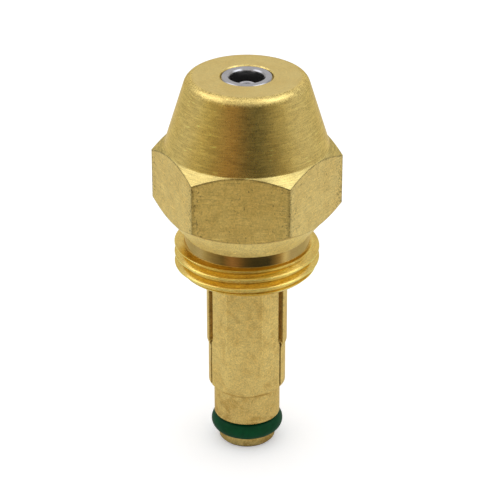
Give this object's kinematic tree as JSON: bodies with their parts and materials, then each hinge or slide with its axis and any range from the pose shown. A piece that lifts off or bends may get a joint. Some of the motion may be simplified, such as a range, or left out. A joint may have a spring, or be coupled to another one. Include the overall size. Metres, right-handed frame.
{
  "type": "siphon oil burner nozzle",
  "caption": "Brass burner nozzle with a domed hexagonal cap, steel orifice ring and distributor, and a fluted screw-in stem with a green seal at its tail.",
  "frame": {"origin": "centre of the stem's tail end, on the nozzle's axis", "axes": "+Z along the axis from the tail to the spray face; -Y out of one flat of the cap's hexagon and out of the stem's middle flat; +X out of a corner of the hexagon"},
  "size_m": [0.0182, 0.0158, 0.0394],
  "materials": {
    "cap_brass": "turned, satin",
    "stem_brass": "tumbled, matt",
    "stainless": "polished",
    "seal_rubber": "satin"
  },
  "bodies": {
    "stem_unit": {"stem": "stem_brass", "tail_seal": "seal_rubber"},
    "distributor": {"distributor": "stainless"},
    "cap_unit": {"cap": "cap_brass", "orifice_ring": "stainless"}
  },
  "joints": [
    {"name": "cap_lift", "type": "slide", "parent": "stem_unit", "child": "distributor", "axis": [0, 0, 1], "range_m": [0, 0.006]},
    {"name": "cap_screw", "type": "hinge", "parent": "distributor", "child": "cap_unit", "pos_m": [0, 0, 0.0294], "axis": [0, 0, 1], "range_deg": [0, 2160]}
  ],
  "couplings": [
    {"joint": "cap_screw", "follows": "cap_lift", "rad_per_m": 6283.2}
  ]
}
